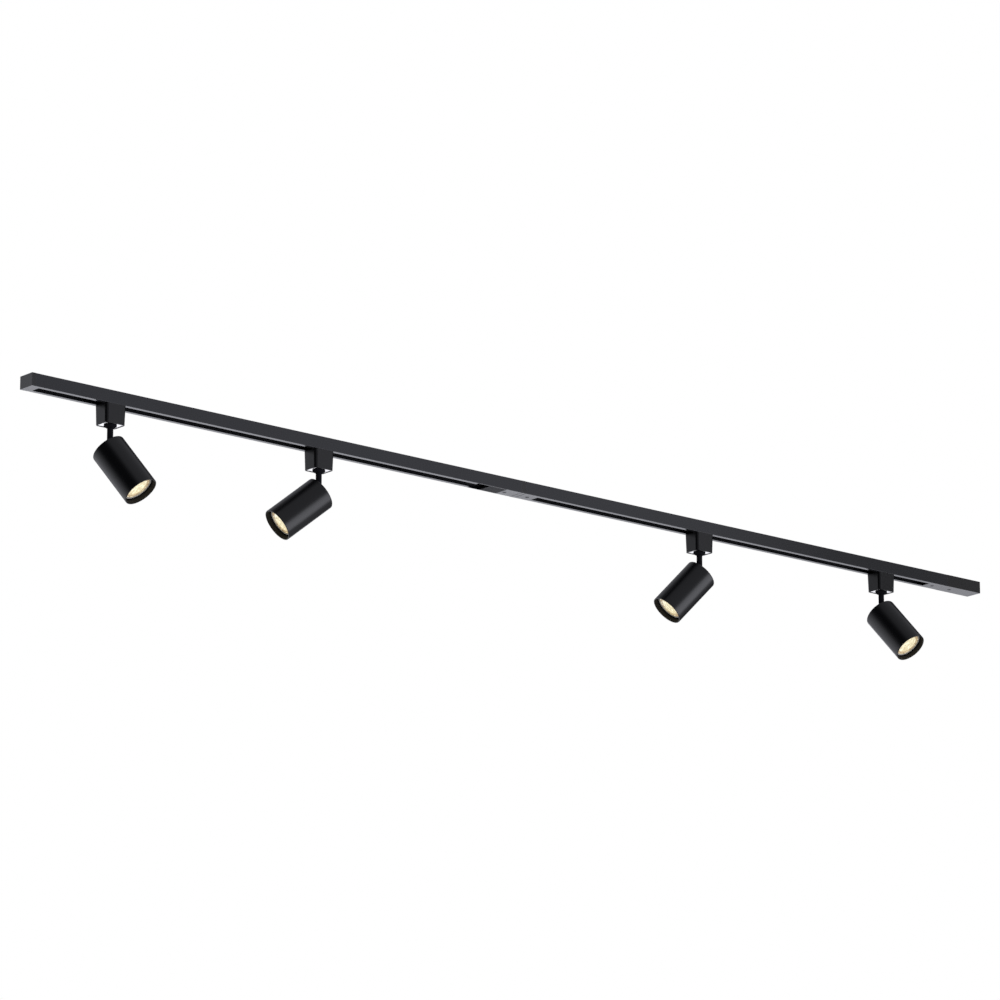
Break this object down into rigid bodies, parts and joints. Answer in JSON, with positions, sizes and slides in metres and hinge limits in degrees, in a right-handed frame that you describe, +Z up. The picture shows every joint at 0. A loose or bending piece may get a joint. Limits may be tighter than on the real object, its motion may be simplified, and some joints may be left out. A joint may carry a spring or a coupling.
{
  "type": "track lighting fixture",
  "caption": "Ceiling track light: straight black slotted rail with a live feed at one end, and sliding cylinder spot heads on short stems that swivel and tilt.",
  "frame": {"origin": "on the ceiling face of the rails, at the middle of the whole track", "axes": "+X along the rails towards the live end, +Z up into the ceiling"},
  "size_m": [2.1, 0.1314, 0.1849],
  "materials": {
    "rail_paint": "satin black powder coat",
    "can_paint": "satin black powder coat",
    "black_plastic": "satin black moulding",
    "insulator": "matt black extrusion",
    "copper": "bare copper",
    "dark_steel": "blackened steel",
    "bright_steel": "bright zinc plate",
    "ceramic": "glazed ceramic",
    "bulb_body": "white moulding",
    "lens": "faceted clear lens"
  },
  "bodies": {
    "track": {"rail_a": "rail_paint", "rail_b": "rail_paint", "insulators_a": "insulator", "insulators_b": "insulator", "conductors_a": "copper", "conductors_b": "copper", "end_cap": "black_plastic", "joiner_body": "black_plastic", "joiner_links": "copper", "joiner_cover": "black_plastic", "live_housing": "black_plastic", "live_cover": "black_plastic", "live_end_plate": "black_plastic", "live_contacts": "copper", "terminal_block": "insulator", "track_screws": "dark_steel"},
    "adapter_1": {"adapter_housing_1": "black_plastic", "adapter_plate_1": "bright_steel", "adapter_contacts_1": "copper"},
    "latch_body_1": {"latch_1": "black_plastic"},
    "swivel_1": {"stem_1": "can_paint", "swivel_nut_1": "dark_steel"},
    "lamp_1": {"can_1": "can_paint", "hinge_pin_1": "dark_steel", "lamp_holder_1": "ceramic", "bulb_1": "bulb_body", "lens_1": "lens"},
    "adapter_2": {"adapter_housing_2": "black_plastic", "adapter_plate_2": "bright_steel", "adapter_contacts_2": "copper"},
    "latch_body_2": {"latch_2": "black_plastic"},
    "swivel_2": {"stem_2": "can_paint", "swivel_nut_2": "dark_steel"},
    "lamp_2": {"can_2": "can_paint", "hinge_pin_2": "dark_steel", "lamp_holder_2": "ceramic", "bulb_2": "bulb_body", "lens_2": "lens"},
    "adapter_3": {"adapter_housing_3": "black_plastic", "adapter_plate_3": "bright_steel", "adapter_contacts_3": "copper"},
    "latch_body_3": {"latch_3": "black_plastic"},
    "swivel_3": {"stem_3": "can_paint", "swivel_nut_3": "dark_steel"},
    "lamp_3": {"can_3": "can_paint", "hinge_pin_3": "dark_steel", "lamp_holder_3": "ceramic", "bulb_3": "bulb_body", "lens_3": "lens"},
    "adapter_4": {"adapter_housing_4": "black_plastic", "adapter_plate_4": "bright_steel", "adapter_contacts_4": "copper"},
    "latch_body_4": {"latch_4": "black_plastic"},
    "swivel_4": {"stem_4": "can_paint", "swivel_nut_4": "dark_steel"},
    "lamp_4": {"can_4": "can_paint", "hinge_pin_4": "dark_steel", "lamp_holder_4": "ceramic", "bulb_4": "bulb_body", "lens_4": "lens"}
  },
  "joints": [
    {"name": "adapter_1_slide", "type": "slide", "parent": "track", "child": "adapter_1", "axis": [1, 0, 0], "range_m": [-0.136, 0.138]},
    {"name": "latch_1_pull", "type": "slide", "parent": "adapter_1", "child": "latch_body_1", "axis": [0, 0, -1], "range_m": [0, 0.004], "stiffness_N_per_m": 300, "springref_m": -0.003},
    {"name": "head_1_swivel", "type": "hinge", "parent": "adapter_1", "child": "swivel_1", "pos_m": [-0.886, 0, -0.053], "axis": [0, 0, 1], "range_deg": [-116.5, 233.5]},
    {"name": "head_1_tilt", "type": "hinge", "parent": "swivel_1", "child": "lamp_1", "pos_m": [-0.886, 0, -0.095], "axis": [-0.8526, -0.5225, 0], "range_deg": [-37, 28]},
    {"name": "adapter_2_slide", "type": "slide", "parent": "track", "child": "adapter_2", "axis": [1, 0, 0], "range_m": [-0.079, 0.312]},
    {"name": "latch_2_pull", "type": "slide", "parent": "adapter_2", "child": "latch_body_2", "axis": [0, 0, -1], "range_m": [0, 0.004], "stiffness_N_per_m": 300, "springref_m": -0.003},
    {"name": "head_2_swivel", "type": "hinge", "parent": "adapter_2", "child": "swivel_2", "pos_m": [-0.465, 0, -0.053], "axis": [0, 0, 1], "range_deg": [-334.5, 15.5]},
    {"name": "head_2_tilt", "type": "hinge", "parent": "swivel_2", "child": "lamp_2", "pos_m": [-0.465, 0, -0.095], "axis": [0.3502, 0.9367, 0], "range_deg": [-50.5, 14.5]},
    {"name": "adapter_3_slide", "type": "slide", "parent": "track", "child": "adapter_3", "axis": [1, 0, 0], "range_m": [-0.326, 0.108]},
    {"name": "latch_3_pull", "type": "slide", "parent": "adapter_3", "child": "latch_body_3", "axis": [0, 0, -1], "range_m": [0, 0.004], "stiffness_N_per_m": 300, "springref_m": -0.003},
    {"name": "head_3_swivel", "type": "hinge", "parent": "adapter_3", "child": "swivel_3", "pos_m": [0.376, 0, -0.053], "axis": [0, 0, 1], "range_deg": [-333.5, 16.5]},
    {"name": "head_3_tilt", "type": "hinge", "parent": "swivel_3", "child": "lamp_3", "pos_m": [0.376, 0, -0.095], "axis": [0.3665, 0.9304, 0], "range_deg": [-42.5, 22.5]},
    {"name": "adapter_4_slide", "type": "slide", "parent": "track", "child": "adapter_4", "axis": [1, 0, 0], "range_m": [-0.127, 0.096]},
    {"name": "latch_4_pull", "type": "slide", "parent": "adapter_4", "child": "latch_body_4", "axis": [0, 0, -1], "range_m": [0, 0.004], "stiffness_N_per_m": 300, "springref_m": -0.003},
    {"name": "head_4_swivel", "type": "hinge", "parent": "adapter_4", "child": "swivel_4", "pos_m": [0.815, 0, -0.053], "axis": [0, 0, 1], "range_deg": [-100, 250]},
    {"name": "head_4_tilt", "type": "hinge", "parent": "swivel_4", "child": "lamp_4", "pos_m": [0.815, 0, -0.095], "axis": [-0.9659, -0.2588, 0], "range_deg": [-40, 25]}
  ]
}
